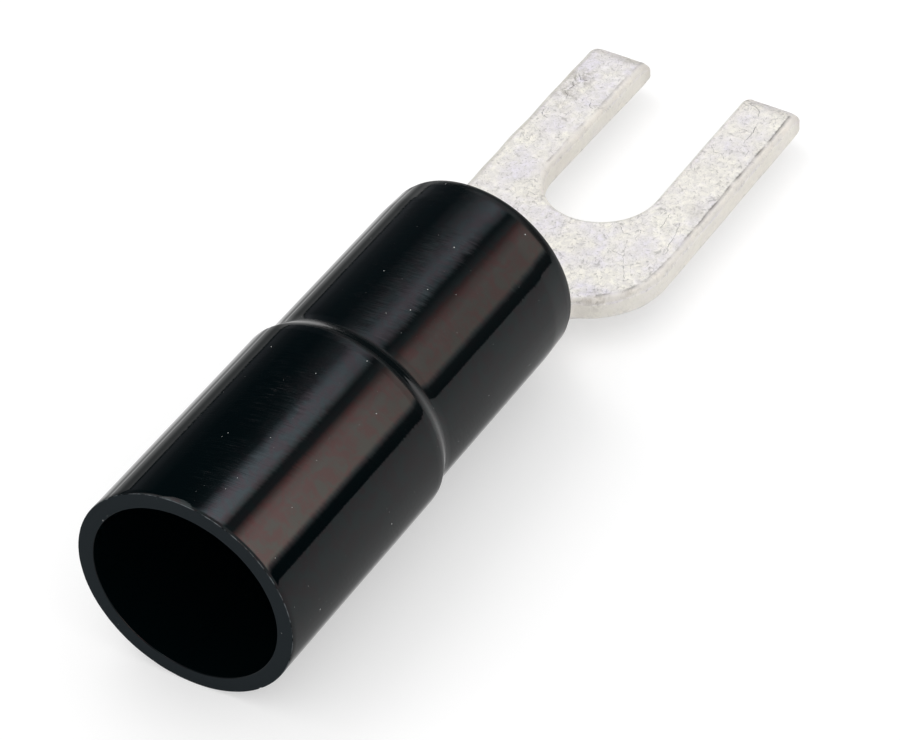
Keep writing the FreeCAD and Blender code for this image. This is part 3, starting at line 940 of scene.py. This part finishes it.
studio = {
    "floorColour": "#c9c9c9",
    "floorLift": 0.45,  # added to the paper where it is looked at, so that it comes out white
    "floorSize": 3.0,  # metres
    "cameraMm": (-117.55, -73.0, 117.6),
    "viewAzimuth": 35.06,  # degrees, the way the camera looks, from +X towards +Y
    "viewDrop": 42.72,
    "roll": 4.35,
    "focalLength": 154.8,
    "ambient": 1.0,
    "ceiling": 1.2,
    "slitStrength": 2.4,
    "slitsFrom": 0.4,  # how far a direction leans along the wire axis, as a sine, from here on
    "slitsTo": 0.76,
    "slitEdge": 0.03,
    "toMiddle": (0.54, 0.58),  # where the tent's near part gives way to its middle, and that to its far part
    "toFar": (0.58, 0.605),
    "endsFrom": 0.5,
    "farEnd": 0.05,  # brightness of the two ends low down, which rises to the ceiling's
    "endLift": (0.42, 0.48),  # between these heights, as sines
    "keyPlace": (0.045, 0.135, 0.264),  # metres
    "keySize": 0.16,
    "keyPower": 0.12,
}

# what the tent looks like, by degrees from straight up towards the right side (-Y): the brightness of its
# near, middle and far part, and its tint
tent = [
    (-91, 0.02, 0.02, 0.02, "#ffffff"), (-88, 0.02, 0.02, 0.02, "#ffffff"),
    (-87, 0.15, 0.15, 0.2, "#f4f4ff"), (-76, 0.05, 0.05, 0.08, "#f4f4ff"),
    (-60, 0.01, 0.01, 0.04, "#e8f0ff"), (-40, 0.01, 0.01, 0.04, "#e8f0ff"),
    (-28, 0.01, 0.02, 0.18, "#f6f6ff"), (-17, 0.03, 0.08, 0.5, "#f4f8ff"),
    (-11, 0.1, 0.16, 0.72, "#f0f4ff"), (-7, 0.7, 0.6, 0.84, "#f0f4ff"), (-2, 1.8, 1.3, 1.0, "#f0f4ff"),
    (3, 2.3, 1.55, 1.0, "#f0f4ff"), (11, 2.3, 1.5, 0.56, "#f0f6ff"), (16, 1.2, 0.55, 0.08, "#ffffff"),
    (19, 0.16, 0.1, 0.08, "#ffffff"), (27, 0.16, 0.18, 0.3, "#ffffff"), (31, 1.15, 1.0, 0.6, "#ffc6be"),
    (37, 2.8, 2.0, 1.15, "#ffd4cc"), (46, 3.0, 2.15, 1.45, "#ffe6dc"), (70, 2.75, 2.0, 1.3, "#ffe9dc"),
    (74, 0.6, 0.7, 0.5, "#ffffff"), (78, 0.01, 0.04, 0.08, "#ffffff"), (92, 0.01, 0.01, 0.03, "#ffffff"),
]


def seenDirectly(add):
    # 1 for what the camera, a mirror or glass looks at, 0 for the light that falls on matt surfaces
    paths = add("LightPath").node.outputs
    total = 0.0
    for kind in ("Camera", "Glossy", "Transmission"):
        total = add("Math:ADD", paths["Is " + kind + " Ray"], total)
    return add("Math:MINIMUM", total, 1.0)


def makeFloor():
    half = studio["floorSize"] / 2
    level = sleeveLow.z
    mesh = bpy.data.meshes.new("floor")
    mesh.from_pydata([(-half, -half, level), (half, -half, level), (half, half, level), (-half, half, level)],
                     [], [(0, 1, 2, 3)])
    floor = newObject("floor", mesh)
    material, add, surface = newMaterial("mattWhitePaper")
    lift = add("Math:MULTIPLY", seenDirectly(add), studio["floorLift"])
    fillInputs(surface, {
        "Base Color": toLinear(studio["floorColour"]), "Roughness": 0.95, "Specular IOR Level": 0.1,
        "Emission Color": (1, 1, 1, 1), "Emission Strength": lift})
    floor.data.materials.append(material)


def makeKeyLight():
    # one soft box behind the part, for a soft shadow towards the camera
    lamp = bpy.data.lights.new("key", "AREA")
    lamp.shape = "DISK"
    lamp.size = studio["keySize"]
    lamp.energy = studio["keyPower"]
    key = newObject("key", lamp)
    key.location = studio["keyPlace"]
    key.rotation_euler = Vector(studio["keyPlace"]).to_track_quat("Z", "Y").to_euler()


def makeCamera():
    azimuth = math.radians(studio["viewAzimuth"])
    drop = math.radians(studio["viewDrop"])
    ahead = Vector((math.cos(azimuth) * math.cos(drop), math.sin(azimuth) * math.cos(drop), -math.sin(drop)))
    level = ahead.cross(Vector((0, 0, 1))).normalized()
    upright = level.cross(ahead)
    roll = math.radians(studio["roll"])
    right = level * math.cos(roll) - upright * math.sin(roll)
    turn = Matrix((right, right.cross(ahead), -ahead)).transposed()
    data = bpy.data.cameras.new("camera")
    data.lens = studio["focalLength"]
    data.sensor_width = 36.0
    data.clip_start = 0.01
    data.clip_end = 20.0
    camera = newObject("camera", data)
    camera.matrix_world = Matrix.Translation(Vector(studio["cameraMm"]) * mm) @ turn.to_4x4()
    bpy.context.scene.camera = camera


def makeWorld():
    # matt surfaces get even light from all round, and glossy ones reflect the ceiling and the tent
    world = bpy.data.worlds.new("studio")
    bpy.context.scene.world = world
    world.use_nodes = True
    add = partial(addNode, world.node_tree)
    x, y, z = add("SeparateXYZ", add("TexCoord").node.outputs["Generated"]).node.outputs
    lean = add("Math:ARCTAN2", add("Math:MULTIPLY", y, -1.0), z)
    lap = add("Math:ADD", add("Math:DIVIDE", lean, 2 * math.pi), 0.5)
    tilt = add("Math:ABSOLUTE", x)
    parts = []
    for part in range(3):
        stops = []
        for degrees, *brightness, tint in tent:
            strength = brightness[part] * studio["slitStrength"]
            stops.append((degrees / 360 + 0.5, (*(c * strength for c in toLinear(tint)[:3]), 1.0)))
        parts.append(add("ValToRGB", lap, stops=stops))
    slits = parts[0]
    for part, reach in zip(parts[1:], (studio["toMiddle"], studio["toFar"])):
        shares = {0: add("MapRange", tilt, *reach), 6: slits, 7: part}
        slits = add("Mix", shares, data_type="RGBA").node.outputs[2]
    enter = add("MapRange", tilt, studio["slitsFrom"] - studio["slitEdge"], studio["slitsFrom"])
    leave = add("MapRange", tilt, studio["slitsTo"] - studio["slitEdge"], studio["slitsTo"], 1.0, 0.0)
    end = add("MapRange", z, *studio["endLift"], studio["farEnd"], studio["ceiling"])
    atEnds = add("Math:GREATER_THAN", tilt, studio["endsFrom"])
    ceiling = add("Mix", {0: atEnds, 2: studio["ceiling"], 3: end})
    pale = add("CombineColor", ceiling, ceiling, ceiling)
    shares = {0: add("Math:MULTIPLY", enter, leave), 6: pale, 7: slits}
    seen = add("Mix", shares, data_type="RGBA").node.outputs[2]
    soft = add("Background", (1, 1, 1, 1), studio["ambient"])
    shown = add("MixShader", seenDirectly(add), soft, add("Background", seen, 1.0))
    fillInputs(world.node_tree.nodes["World Output"], {"Surface": shown})


makeCamera()
makeWorld()
makeKeyLight()
makeFloor()
print("studio set")
sleevePiece = makeSleeve(makeGlossyPvc(), makeCutPvc())
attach(sleevePiece, "root")
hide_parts("insulating_sleeve")
print("sleeve turned:", len(sleevePiece.data.polygons), "faces")
dustPiece = makeDust(sleevePiece, makeDustMaterial())
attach(dustPiece, "root")
print("dust scattered:", len(dustPiece.data.polygons), "faces")
terminalPiece = makeTerminal(makeTin())
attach(terminalPiece, "root")
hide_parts("fork_terminal")
print("terminal rolled:", len(terminalPiece.data.polygons), "faces")

bpy.context.scene.view_settings.view_transform = "Standard"
